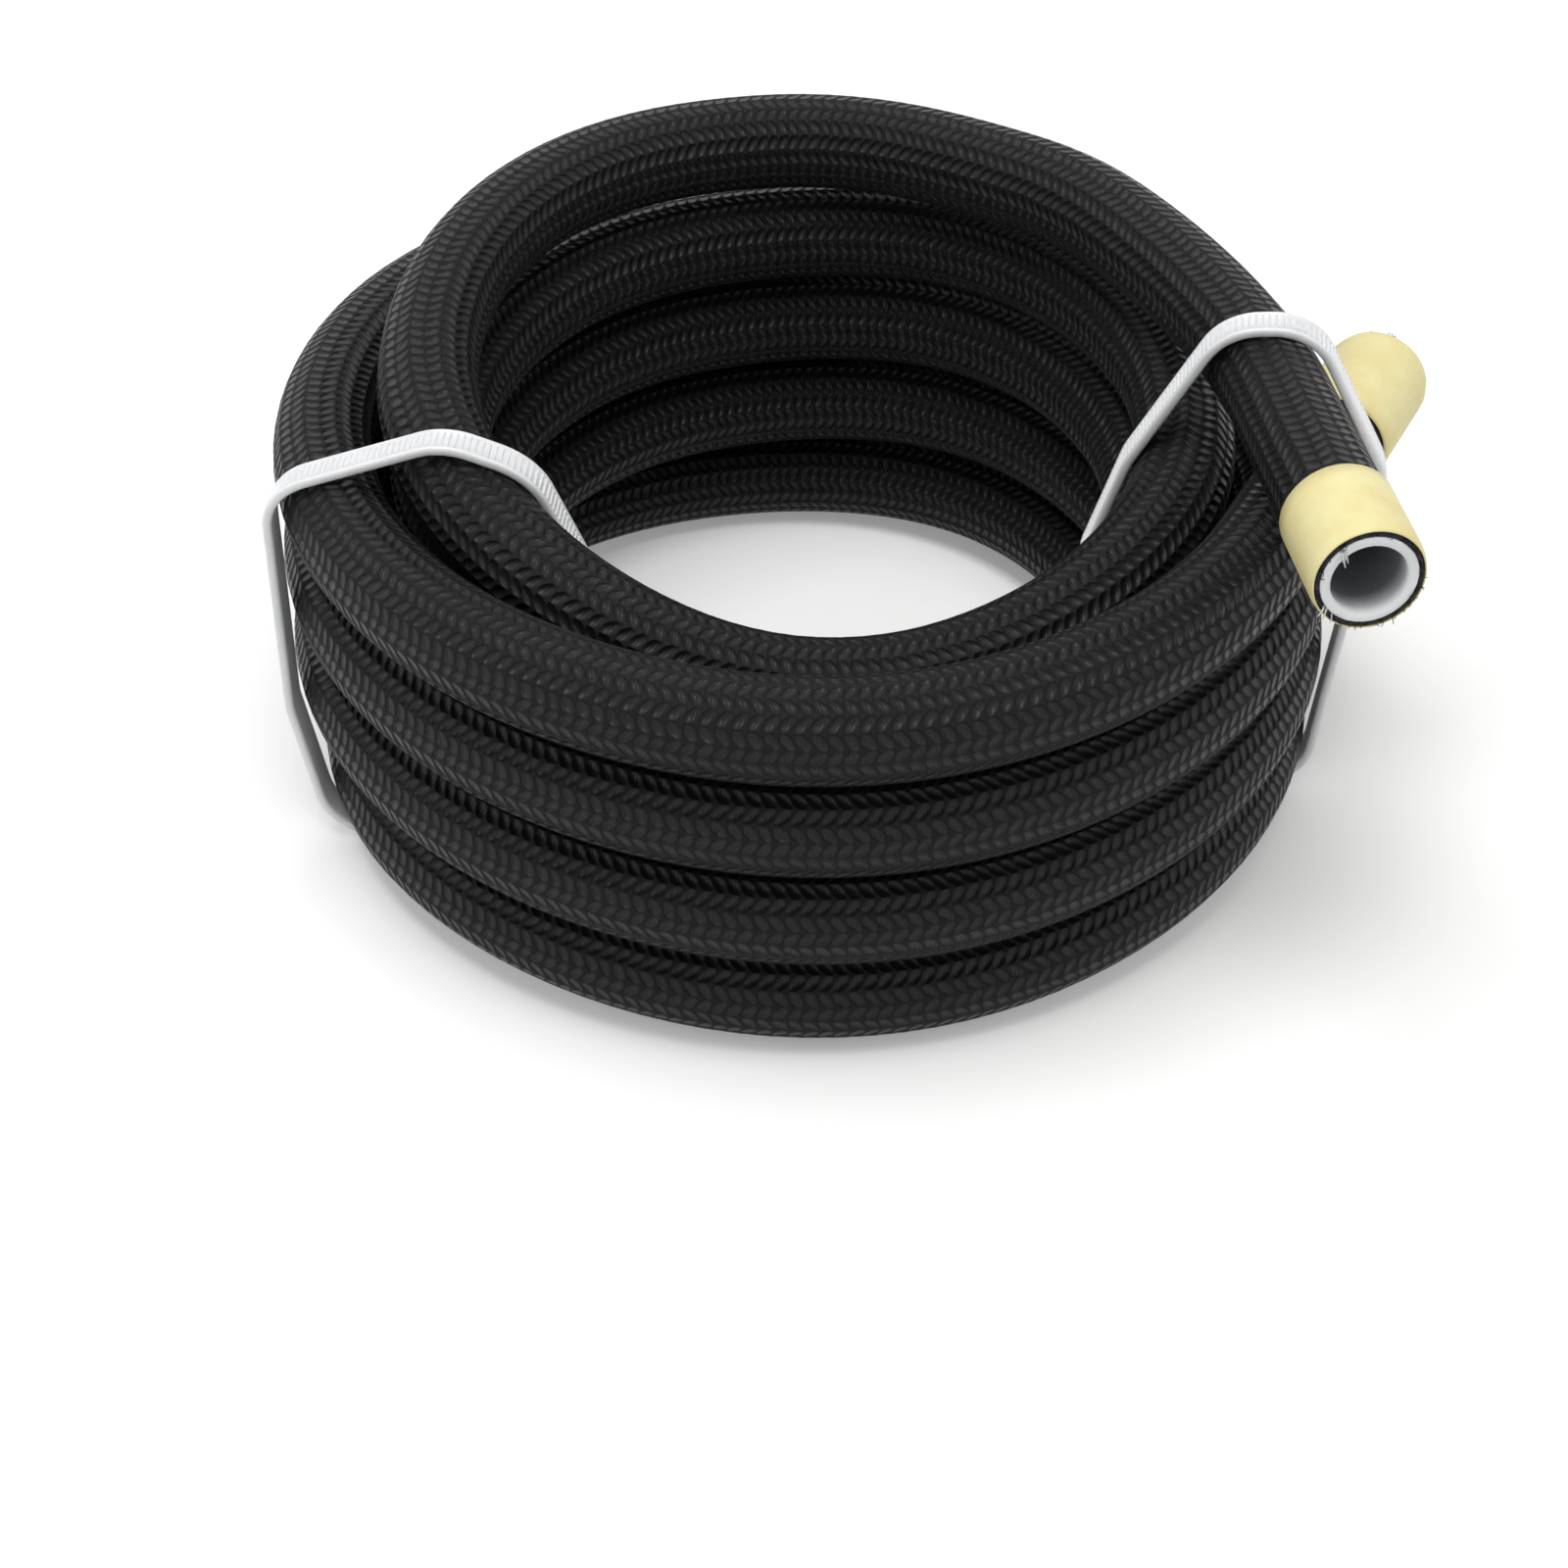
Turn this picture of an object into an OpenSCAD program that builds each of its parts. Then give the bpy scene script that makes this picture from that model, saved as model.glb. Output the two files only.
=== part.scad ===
// A three-metre length of small-bore hose, coiled and tied for storage.
// A white inner tube lies inside a black braided cover, from one cut end to the other.
// Seen from above the hose is wound anticlockwise. From its front end it makes one leaning top
// turn, winds down an inner column to the floor, moves out and winds up an outer column.
// Crepe tape binds the braid at both cut ends, and two cable ties hold the coil together.
// Lengths are in millimetres, angles in degrees. The coil stands on z = 0 with its axis upright.

/* [Hose] */
// Outside diameter over the braided cover
hose_diameter = 14; // [10:0.5:20]
// Bore of the inner tube
bore_diameter = 10; // [6:0.5:14]
// Thickness of the braided cover
cover_wall = 0.8; // [0.5:0.1:1.5]
// Radial play between the inner tube and its cover
liner_play = 0.05; // [0.02:0.01:0.15]

/* [Coil] */
// Radius of the outer column, from the coil's axis to the middle of the hose
coil_radius = 68; // [50:1:120]
// Least room between one turn and the next
lay_gap = 0.5; // [0.4:0.1:2]
// Turns that wind down the inner column, the top turn included
turns_down = 4; // [2:1:6]
// Turns that the outer column has fewer than the inner column
turns_short = 0; // [0:1:2]
// Outward bulge of the back of the coil, below the top turn
back_bulge = 3.5; // [0:0.5:6]
// Outward lean of the top turn at its back
top_lean = 16.5; // [0:0.5:22]
// Lean by which the turns of the inner column nest at the front
nest_lean = 29; // [0:1:35]

/* [Loose ends] */
// Length of the front end that leaves the coil
front_end_length = 28.5; // [24:0.5:60]
// Length of the rear end that leaves the coil
rear_end_length = 33; // [30:1:60]

/* [Tape] */
// Width of the tape round the front end
front_tape_width = 15; // [10:1:25]
// Width of the tape round the rear end
rear_tape_width = 19; // [10:1:25]
// Thickness of the wound tape
tape_thickness = 0.45; // [0.2:0.05:0.8]
// Radial play between the tape and the cover
tape_play = 0.05; // [0.02:0.01:0.15]

/* [Cable ties] */
// Direction of the left tie, seen from the coil's axis
left_tie_angle = 205; // [170:1:215]
// Turn of the left strap from straight across the hose
left_tie_skew = -30; // [-35:1:35]
// Direction of the right tie, seen from the coil's axis
right_tie_angle = -11.5; // [-13:0.5:-8]
// Turn of the right strap from straight across the hose
right_tie_skew = 5; // [-10:1:15]
// Width of the strap
strap_width = 4.8; // [3.6:0.2:7.6]
// Thickness of the strap
strap_thickness = 1.3; // [1:0.1:2]
// Room between the strap and what it binds
strap_gap = 0.3; // [0.2:0.1:0.6]
// Length of the head, along the strap
head_length = 7.6; // [6:0.2:10]
// Width of the head, across the strap
head_width = 7.8; // [6:0.2:10]
// Depth of the head, away from the hose
head_depth = 5.2; // [4:0.2:8]
// Length of the cut strap end that stands out of the head
stub_length = 1.6; // [0.6:0.2:4]
// Height of the head's middle above the floor
head_height = 15; // [10:1:30]

/* [Hidden] */

cover_colour = [0.05, 0.05, 0.055];
liner_colour = [0.86, 0.86, 0.84];
tape_colour = [0.93, 0.87, 0.66];
tie_colour = [0.88, 0.88, 0.86];

hose_radius = hose_diameter / 2;
liner_radius = hose_radius - cover_wall - liner_play;
bore_radius = bore_diameter / 2;
cover_bore_radius = hose_radius - cover_wall;
tape_radius = hose_radius + tape_play + tape_thickness;
turns_up = turns_down - turns_short;
// Turns that climb side by side come closer than they are in height, a thick hose most of all.
climb_loss = pow(hose_diameter, 3) / pow(coil_radius, 2);
lay_pitch = hose_diameter + lay_gap + climb_loss;
inner_radius = coil_radius - lay_pitch;
tie_room = strap_thickness + strap_gap;
tie_pivot = (inner_radius + coil_radius) / 2;
left_tie = [left_tie_angle, left_tie_skew];
right_tie = [right_tie_angle, right_tie_skew];

// Places along the winding are counted in turns from the right-hand side of the top turn.
first_turn = -0.0475;
rear_end_leaves = 0.074;
last_turn = turns_down + turns_up - rear_end_leaves;
quarter_turn = 0.25;
rings_per_turn = 22;
tube_sides = 6;
drop_from = 0.30;
drop_to = 0.80;
climb_from = 0.06;
climb_to = 0.605;
top_turn_end = 0.5;
nest_from = 0.46;
nest_full = 0.75;
nest_to = 1.20;
bulge_lead = 10;
bulge_sharpness = 4;
top_lean_from = 0.15;
top_lean_full = 0.27;
leave_to = 0.0875;
leave_rate = 46.5;
lift_to = 0.03;
lift_rate = 6.5;
rest_angle = 7;
rest_width = 6;
tuck_share = 0.25;
tuck_from = [0.30, 0.50];
tuck_to = [0.85, 1.10];
tangent_step = 0.0005;
gap_neighbourhood = 3 * hose_diameter;
free_end_step = 2;
round_facets = 64;
strap_facets = 40;
head_corner = 1.2;
slot_play = 0.3;
slot_depth = 1;
face_lap = 0.5;
seam_lap = 0.01;

function unit(v) = v / norm(v);
function total(list) = list * [for (item = list) 1];
function ease(from, to, x) =
    let (u = min(max((x - from) / (to - from), 0), 1)) u * u * (3 - 2 * u);
function fraction(t) = t - floor(t);

// The back of the coil is drawn outward, the same in both columns.
function bulge(t) =
    back_bulge / lay_pitch * pow(max(0, sin(360 * t + bulge_lead)), bulge_sharpness);

// The inner column: one level down in each turn, nested from side to side at the front.
function inner_level(t) =
    turns_down - total([for (j = [0:turns_down - 1]) ease(j + drop_from, j + drop_to, t)]);
function nest_share(t) =
    let (f = fraction(t))
    t <= top_turn_end || t >= turns_down + nest_to - 1 ? 0
    : f >= quarter_turn && f < nest_full ? ease(nest_from, nest_full, f)
    : 1 - ease(nest_full, nest_to, f < nest_full ? f + 1 : f);
function nest_angle(t) = nest_lean * nest_share(t);
function nests_inward(t) = floor(turns_down + t - quarter_turn) % 2;

// The top turn leans outward at its back and rests on the turn below. Its loose end moves out and
// lifts, over the rear end.
function top_angle(t) =
    top_lean * ease(top_lean_from, top_lean_full, t) * (1 - ease(top_lean_full, top_turn_end, t));
function top_rest(t) = sqrt(1 - pow(sin(top_angle(t)) - bulge(t), 2));
function top_leave(t) = leave_rate * pow(max(0, leave_to - t), 2);
function top_lift(t) = lift_rate * pow(max(0, lift_to - t), 2);

// The outer column: out beside the lowest inner turn, then one level up in each turn.
function outward_angle(t) = 90 * ease(turns_down + climb_from, turns_down + climb_to, t);
function outer_level(t) =
    total([for (j = [1:turns_up - 1])
        sin(90 * ease(turns_down + j + climb_from, turns_down + j + climb_to, t))]);
function tuck_in(t) =
    tuck_share * sin(nest_lean)
    * ease(turns_down + tuck_from[0], turns_down + tuck_from[1], t)
    * (1 - ease(turns_down + tuck_to[0], turns_down + tuck_to[1], t));

function level(t) =
    t < top_turn_end ? inner_level(t) - 1 + top_rest(t) + top_lift(t)
    : inner_level(t) * cos(nest_angle(t)) + outer_level(t);
function offset_in_pitches(t) =
    t < top_turn_end ? sin(top_angle(t)) + top_leave(t)
    : bulge(t) - nests_inward(t) * sin(nest_angle(t)) + 1 - cos(outward_angle(t)) - tuck_in(t);

// The coil rests on the floor at its front and back, and rises a little at its sides, where the
// ties pass under it.
function centre(t) =
    let (
        a = 360 * t,
        r = inner_radius + lay_pitch * offset_in_pitches(t),
        z = hose_radius + lay_pitch * level(t) + tie_room * (1 - pow(sin(a - rest_angle), rest_width))
    )
    [r * cos(a), r * sin(a), z];

front_way = unit(centre(first_turn) - centre(first_turn + tangent_step));
rear_way = unit(centre(last_turn) - centre(last_turn - tangent_step));
ring_total = ceil((last_turn - first_turn) * rings_per_turn);
wound = [for (i = [0:ring_total - 1]) centre(first_turn + i / rings_per_turn)];
front_seat = wound[0] + hose_diameter * front_way;
rear_seat = centre(last_turn) + hose_diameter * rear_way;
coil_route = concat([front_seat], wound, [centre(last_turn), rear_seat]);
front_mouth = front_seat + front_end_length * front_way;
rear_mouth = rear_seat + rear_end_length * rear_way;

// A ring of the swept tube stands square to the route, with one corner straight down.
function way_at(i) =
    i <= 1 ? -front_way
    : i >= len(coil_route) - 2 ? rear_way
    : unit(unit(coil_route[i + 1] - coil_route[i]) + unit(coil_route[i] - coil_route[i - 1]));
function ring(i, radius) =
    let (
        way = way_at(i),
        side = unit(cross(way, [0, 0, 1])),
        up = cross(side, way)
    )
    [for (k = [0:tube_sides - 1])
        let (a = 360 * k / tube_sides - 90)
        coil_route[i] + radius * (cos(a) * side + sin(a) * up)];

// Each four-cornered cell of the skin is two triangles.
function cell(a, b, c, d) = [[a, b, c], [a, c, d]];
function flat(lists) = [for (list = lists) for (item = list) item];

module swept_tube(outer_radius, bore) {
    rings = len(coil_route);
    points = concat(
        flat([for (i = [0:rings - 1]) ring(i, outer_radius)]),
        flat([for (i = [0:rings - 1]) ring(i, bore)])
    );
    inside = rings * tube_sides;
    last = (rings - 1) * tube_sides;
    outer_skin = [for (i = [0:rings - 2]) for (k = [0:tube_sides - 1])
        let (a = i * tube_sides + k, b = i * tube_sides + (k + 1) % tube_sides)
        cell(a, b, b + tube_sides, a + tube_sides)];
    inner_skin = [for (i = [0:rings - 2]) for (k = [0:tube_sides - 1])
        let (a = inside + i * tube_sides + k, b = inside + i * tube_sides + (k + 1) % tube_sides)
        cell(a, a + tube_sides, b + tube_sides, b)];
    front_face = [for (k = [0:tube_sides - 1])
        let (n = (k + 1) % tube_sides)
        cell(n, k, inside + k, inside + n)];
    rear_face = [for (k = [0:tube_sides - 1])
        let (n = (k + 1) % tube_sides)
        cell(last + k, last + n, inside + last + n, inside + last + k)];
    translate(-middle)
        polyhedron(points, flat(concat(outer_skin, inner_skin, front_face, rear_face)));
}

// A straight tube that starts at a point and runs along a direction.
module straight_tube(start, way, length, outer_radius, bore) {
    translate(start - middle)
        rotate([0, acos(way[2]), atan2(way[1], way[0])])
            difference() {
                cylinder(h = length, r = outer_radius, $fn = round_facets);
                translate([0, 0, -face_lap])
                    cylinder(h = length + 2 * face_lap, r = bore, $fn = round_facets);
            }
}

module hose_cover_coil() {
    color(cover_colour)
        swept_tube(hose_radius, cover_bore_radius);
}

module hose_cover_front_end() {
    color(cover_colour)
        straight_tube(front_seat, front_way, front_end_length, hose_radius, cover_bore_radius);
}

module hose_cover_rear_end() {
    color(cover_colour)
        straight_tube(rear_seat, rear_way, rear_end_length, hose_radius, cover_bore_radius);
}

module liner_coil() {
    color(liner_colour)
        swept_tube(liner_radius, bore_radius);
}

module liner_front_end() {
    color(liner_colour)
        straight_tube(front_seat, front_way, front_end_length, liner_radius, bore_radius);
}

module liner_rear_end() {
    color(liner_colour)
        straight_tube(rear_seat, rear_way, rear_end_length, liner_radius, bore_radius);
}

module tape_front() {
    color(tape_colour)
        straight_tube(front_mouth, -front_way, front_tape_width, tape_radius, hose_radius + tape_play);
}

module tape_rear() {
    color(tape_colour)
        straight_tube(rear_mouth, -rear_way, rear_tape_width, tape_radius, hose_radius + tape_play);
}

// A strap lies in an upright plane. The plane passes midway between the two columns in the tie's
// direction, and is turned from straight across by the tie's skew.
function strap_anchor(tie) = tie_pivot * [cos(tie[0]), sin(tie[0]), 0];
function strap_out(tie) = [cos(tie[0] + tie[1]), sin(tie[0] + tie[1]), 0];
function strap_across(tie) = [-sin(tie[0] + tie[1]), cos(tie[0] + tie[1]), 0];
function in_strap_plane(p, tie) = [(p - strap_anchor(tie)) * strap_out(tie), p[2]];
function off_strap_plane(p, tie) = (p - strap_anchor(tie)) * strap_across(tie);

// What a tie binds: the hose where it crosses the two edges of a band of this width. Each place is
// [place in the plane, direction of the cut's longer axis, stretch along that axis, radius].
full_route = concat([front_mouth], coil_route, [rear_mouth]);
function bound_radius(p) =
    norm(p - front_mouth) < front_tape_width + strap_width ? tape_radius
    : norm(p - rear_mouth) < rear_tape_width + strap_width ? tape_radius
    : hose_radius;
function bound(tie, width) =
    [for (i = [1:len(full_route) - 1]) for (edge = [-width / 2, width / 2])
        let (
            start = full_route[i - 1],
            end = full_route[i],
            from = off_strap_plane(start, tie) - edge,
            to = off_strap_plane(end, tie) - edge,
            p = start + (end - start) * from / (from - to),
            way = unit(end - start)
        )
        if (from * to <= 0 && in_strap_plane(p, tie)[0] > -tie_pivot)
            [
                in_strap_plane(p, tie),
                atan2(way[2], way * strap_out(tie)),
                1 / abs(way * strap_across(tie)),
                bound_radius(p),
            ]];
function cut_outline(place, room) =
    let (
        m = place[1],
        long = place[2] * place[3] + room,
        short = place[3] + room
    )
    [for (k = [0:strap_facets - 1])
        let (a = 360 * k / strap_facets, u = long * cos(a), v = short * sin(a))
        place[0] + [u * cos(m) - v * sin(m), u * sin(m) + v * cos(m)]];
function strap_corners(tie) =
    flat([for (place = bound(tie, strap_width)) cut_outline(place, tie_room)]);

// The middle of everything, seen from above, and its lowest point, in the winding's own frame.
// This place becomes the origin.
function mouth_sides(mouth, way) =
    let (side = tape_radius * [sqrt(1 - way[0] * way[0]), sqrt(1 - way[1] * way[1]), 0])
    [mouth - side, mouth + side];
function strap_sides(tie) =
    [for (corner = strap_corners(tie)) for (edge = [-strap_width / 2, strap_width / 2])
        strap_anchor(tie) + corner[0] * strap_out(tie) + edge * strap_across(tie)
            + [0, 0, corner[1]]];
outermost = concat(
    flat([for (i = [0:len(coil_route) - 1]) ring(i, hose_radius)]),
    mouth_sides(front_mouth, front_way),
    mouth_sides(rear_mouth, rear_way),
    strap_sides(left_tie),
    strap_sides(right_tie)
);
function halfway(list) = (min(list) + max(list)) / 2;
middle = [
    halfway([for (p = outermost) p[0]]),
    halfway([for (p = outermost) p[1]]),
    min([for (p = outermost) p[2]])
];

module bound_outline(tie, width, room) {
    hull()
        for (place = bound(tie, width))
            polygon(cut_outline(place, room));
}

// The head lies on the side that faces the coil's axis, and fits round what the strap binds. The
// cut strap end stands out of its slot.
module tie_head(tie) {
    face = min([for (corner = strap_corners(tie)) corner[0]]) + strap_thickness;
    difference() {
        union() {
            translate([face - head_depth, head_height])
                rotate([0, 90, 0])
                    difference() {
                        linear_extrude(height = head_depth + hose_radius)
                            offset(r = head_corner, $fn = 16)
                                square([head_width, head_length] - 2 * head_corner * [1, 1],
                                    center = true);
                        translate([0, 0, -face_lap])
                            linear_extrude(height = slot_depth + face_lap)
                                square([strap_width, strap_thickness] + 2 * slot_play * [1, 1],
                                    center = true);
                    }
            translate([face - head_depth - stub_length, head_height])
                rotate([0, 90, 0])
                    linear_extrude(height = stub_length + head_depth / 2)
                        square([strap_width, strap_thickness], center = true);
        }
        linear_extrude(height = strap_width + 2 * seam_lap, center = true)
            bound_outline(tie, strap_width, strap_gap);
        for (side = [0, 1])
            mirror([0, 0, side])
                translate([0, 0, strap_width / 2])
                    linear_extrude(height = (head_width - strap_width) / 2 + face_lap)
                        bound_outline(tie, head_width, strap_gap);
    }
}

module cable_tie(tie) {
    color(tie_colour)
        translate(strap_anchor(tie) - middle)
            rotate([90, 0, tie[0] + tie[1]]) {
                difference() {
                    linear_extrude(height = strap_width, center = true)
                        bound_outline(tie, strap_width, tie_room);
                    linear_extrude(height = strap_width + 2 * face_lap, center = true)
                        bound_outline(tie, strap_width, strap_gap);
                }
                tie_head(tie);
            }
}

module cable_tie_left() {
    cable_tie(left_tie);
}

module cable_tie_right() {
    cable_tie(right_tie);
}

// The hose's length and its least gap to itself, from the middle line with the loose ends.
function loose(start, way, length) =
    [for (s = [free_end_step:free_end_step:length]) start + s * way];
middle_line = concat(
    [for (i = [len(loose(front_seat, front_way, front_end_length)) - 1:-1:0])
        loose(front_seat, front_way, front_end_length)[i]],
    coil_route,
    loose(rear_seat, rear_way, rear_end_length)
);
reach = [for (i = 0, s = 0; i < len(middle_line);
    s = s + (i < len(middle_line) - 1 ? norm(middle_line[i + 1] - middle_line[i]) : 0), i = i + 1) s];
function from_piece(p, a, b) =
    let (u = min(max((p - a) * (b - a) / ((b - a) * (b - a)), 0), 1)) norm(p - a - u * (b - a));
least_gap = min([for (i = [0:len(middle_line) - 1]) for (j = [0:len(middle_line) - 2])
    if (abs(reach[j] - reach[i]) > gap_neighbourhood)
        from_piece(middle_line[i], middle_line[j], middle_line[j + 1])]) - hose_diameter;
hose_length = norm(front_mouth - front_seat) + norm(rear_mouth - rear_seat)
    + total([for (i = [1:len(coil_route) - 1]) norm(coil_route[i] - coil_route[i - 1])]);
echo(least_gap_of_the_hose_to_itself = least_gap);
echo(hose_length = hose_length);
echo(coil_axis = -middle);
echo(front_mouth = front_mouth - middle, front_way = front_way);
echo(rear_mouth = rear_mouth - middle, rear_way = rear_way);

hose_cover_coil();
hose_cover_front_end();
hose_cover_rear_end();
liner_coil();
liner_front_end();
liner_rear_end();
tape_front();
tape_rear();
cable_tie_left();
cable_tie_right();
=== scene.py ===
import math
import random

import bmesh
import bpy
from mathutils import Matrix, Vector, geometry, noise


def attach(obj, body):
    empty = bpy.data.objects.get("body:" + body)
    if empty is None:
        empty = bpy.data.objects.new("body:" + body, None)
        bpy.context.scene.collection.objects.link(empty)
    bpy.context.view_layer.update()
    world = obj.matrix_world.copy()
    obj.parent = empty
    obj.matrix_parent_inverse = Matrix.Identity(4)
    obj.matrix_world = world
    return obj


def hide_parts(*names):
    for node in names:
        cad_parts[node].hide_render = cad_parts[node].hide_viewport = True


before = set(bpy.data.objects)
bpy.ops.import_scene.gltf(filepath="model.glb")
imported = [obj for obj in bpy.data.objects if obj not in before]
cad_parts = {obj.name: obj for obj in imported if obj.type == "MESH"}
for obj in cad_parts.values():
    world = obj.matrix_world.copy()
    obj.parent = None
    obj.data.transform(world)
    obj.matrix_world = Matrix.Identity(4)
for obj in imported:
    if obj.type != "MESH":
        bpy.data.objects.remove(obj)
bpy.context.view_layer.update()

# Every length is in metres and every angle in degrees, unless its name says otherwise.

# Points nearer than this are one point, and a vector shorter than the other has no direction.
SAME_POINT = 1e-7
NO_DIRECTION = 1e-9

# The hose, as the model has it.
HOSE_DIAMETER = 0.014
HOSE_RADIUS = HOSE_DIAMETER / 2
BORE_RADIUS = 0.005
COVER_WALL = 0.0008
LINER_PLAY = 0.00005
LINER_RADIUS = HOSE_RADIUS - COVER_WALL - LINER_PLAY

# The winding, as the model has it. Places on it are counted in turns from the right-hand side of
# the top turn. It winds down an inner column, and then up an outer one.
COIL_RADIUS = 0.068
LAY_GAP = 0.0005
# Turns that climb side by side come closer than they are in height.
CLIMB_LOSS = HOSE_DIAMETER ** 3 / COIL_RADIUS ** 2
LAY_PITCH = HOSE_DIAMETER + LAY_GAP + CLIMB_LOSS
INNER_RADIUS = COIL_RADIUS - LAY_PITCH
TURNS_DOWN = 4
TURNS_UP = 4
FIRST_TURN = -0.0475
REAR_END_LEAVES = 0.074
LAST_TURN = TURNS_DOWN + TURNS_UP - REAR_END_LEAVES
COIL_AXIS = Vector((-0.00728125, -0.00161725, 0.00000666055))
FRONT_END_LENGTH = 0.0285
REAR_END_LENGTH = 0.033
# The part of each turn over which the inner column drops a level, and the outer one climbs one.
DROP = (0.30, 0.80)
CLIMB = (0.06, 0.605)
# Where in each turn the inner column begins to nest, nests fully, and has let go.
NEST = (0.46, 0.75, 1.20)
NEST_LEAN = 29
QUARTER_TURN = 0.25
# The back of the coil is drawn outward.
BACK_BULGE = 0.0035
BULGE_LEAD = 10
BULGE_SHARPNESS = 4
# The top turn leans outward at its back. Its loose end moves out and lifts, over the rear end.
TOP_TURN_END = 0.5
TOP_LEAN = 16.5
TOP_LEAN_FROM = 0.15
TOP_LEAN_FULL = 0.27
LEAVE_TO = 0.0875
LEAVE_RATE = 46.5
LIFT_TO = 0.03
LIFT_RATE = 6.5
# The lowest outer turn tucks in towards the inner column, and comes out again.
TUCK_SHARE = 0.25
TUCK_FROM = (0.30, 0.50)
TUCK_TO = (0.85, 1.10)
# The coil rests on the floor at its front and back, and rises at its sides, over the ties.
REST_ANGLE = 7
REST_WIDTH = 6
STRAP_THICKNESS = 0.0013
STRAP_GAP = 0.0003
TIE_ROOM = STRAP_THICKNESS + STRAP_GAP

# How finely the hose and the cord's path are drawn, on the coil and on the straight loose ends.
RINGS_PER_TURN = 100
TUBE_SIDES = 32
END_STEP = 0.0015
PATH_POINTS_PER_TURN = 40
PATH_END_STEP = 0.006
# The part of a turn over which an end's direction is taken.
TANGENT_STEP = 0.0005

# The cut ends. The inner tube spreads there by the flare, where the tape squeezes the cover.
END_FLARE = 0.00015
COVER_LIP = 0.0003
LINER_LIP = 0.00015

# The braid: stitches along the hose and rows of stitches around it.
STITCH_LENGTH = 0.00185
BRAID_ROWS = 20

# The tape round each end. Its last layer stops short of a full turn.
FRONT_TAPE_WIDTH = 0.015
REAR_TAPE_WIDTH = 0.019
TAPE_RADIUS = HOSE_RADIUS + 0.0005
TAPE_LAYERS = 3
TAPE_SHORT_OF_A_TURN = 0.12
TAPE_STEPS_PER_TURN = 72
# From one layer to the next, the strip's share of that, and the room under the first layer.
TAPE_LAYER = 0.00014
TAPE_STRIP_SHARE = 0.9
TAPE_START_HEIGHT = 0.00006
# Points across the strip, as shares of its width.
TAPE_COLUMNS = (0, 0.03, 0.07, 0.12, 0.25, 0.45, 0.65, 0.85, 1)
# The strip's far edge wanders slowly and is a little ragged: how far, and how fast in each turn.
TAPE_WANDER = (0.00016, 2.1)
TAPE_RAGGED = (0.00006, 17)
# The crepe's ridges: their height, and how close they lie along and across the strip.
CREPE_HEIGHT = 0.00002
CREPE_ALONG = 30
CREPE_ACROSS = 500
# Pressing thins the tape to this share of its thickness at the mouth, over this width.
MOUTH_PRESS = 0.3
MOUTH_PRESS_WIDTH = 0.0015
# The length of one unit of the tape's UV map.
TAPE_UV_UNIT = 0.001

# The cable ties.
# Each tie has a direction seen from the coil's axis, and a turn from straight across the hose.
TIES = {"left": (205, -30), "right": (-11.5, 5)}
TIE_PIVOT = (INNER_RADIUS + COIL_RADIUS) / 2
STRAP_WIDTH = 0.0048
# The strap's section in millimetres, as (across, up from its inner face): a tray with two rims.
STRAP_SECTION_MM = (
    (-2.40, 0.30), (-2.22, 0.04), (-1.95, 0.00), (1.95, 0.00), (2.22, 0.04), (2.40, 0.30),
    (2.40, 1.02), (2.25, 1.25), (2.05, 1.30), (1.85, 1.26), (1.72, 1.02),
    (-1.72, 1.02), (-1.85, 1.26), (-2.05, 1.30), (-2.25, 1.25), (-2.40, 1.02),
)
STRAP_STEP = 0.0009
HEAD_FACE_STEP = 0.0003
# Points on each of the hose's cuts that the strap is drawn round.
CUT_POINTS = 96
# The ridges that lie in the strap's tray.
RIDGE_PITCH = 0.0009
RIDGE_RADIUS = 0.00034
RIDGE_WIDTH = 0.0034
RIDGE_MIDDLE_HEIGHT = 0.00098

# The ties' heads. Each level has what is added to the width and the length, the corners' radius,
# and how far it lies from the strap's face, towards the coil's axis.
HEAD_LENGTH = 0.0076
HEAD_WIDTH = 0.0078
HEAD_DEPTH = 0.0052
HEAD_HEIGHT = 0.015
STUB_LENGTH = 0.0016
HEAD_LEVELS = (
    (-0.0008, 0.0008, 0.0002),
    (0.0, 0.0012, 0.0006),
    (0.0, 0.0012, HEAD_DEPTH - 0.0009),
    (-0.0004, 0.0011, HEAD_DEPTH - 0.0003),
    (-0.0013, 0.0008, HEAD_DEPTH),
)
SLOT_LEVELS = (
    (0.0009, 0.0004, HEAD_DEPTH),
    (0.0006, 0.0003, HEAD_DEPTH - 0.0002),
    (0.0006, 0.0003, HEAD_DEPTH - 0.0010),
)
STUB_LEVELS = (
    (0.0, 0.0003, HEAD_DEPTH - 0.0014),
    (0.0, 0.0003, HEAD_DEPTH + STUB_LENGTH - 0.0001),
    (-0.0003, 0.0002, HEAD_DEPTH + STUB_LENGTH),
)

# The cut threads at both mouths. The black ones stand all round in the cover's wall.
BLACK_THREADS = 60
THREAD_INSET = (0.0002, 0.0007)
THREAD_LENGTH = (0.0009, 0.0017)
THREAD_RADIUS = (0.00005, 0.00009)
# How far they lean, as shares of their length.
THREAD_SIDEWAYS = (-0.5, 0.5)
THREAD_OUTWARDS = (-0.1, 0.25)
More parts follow.
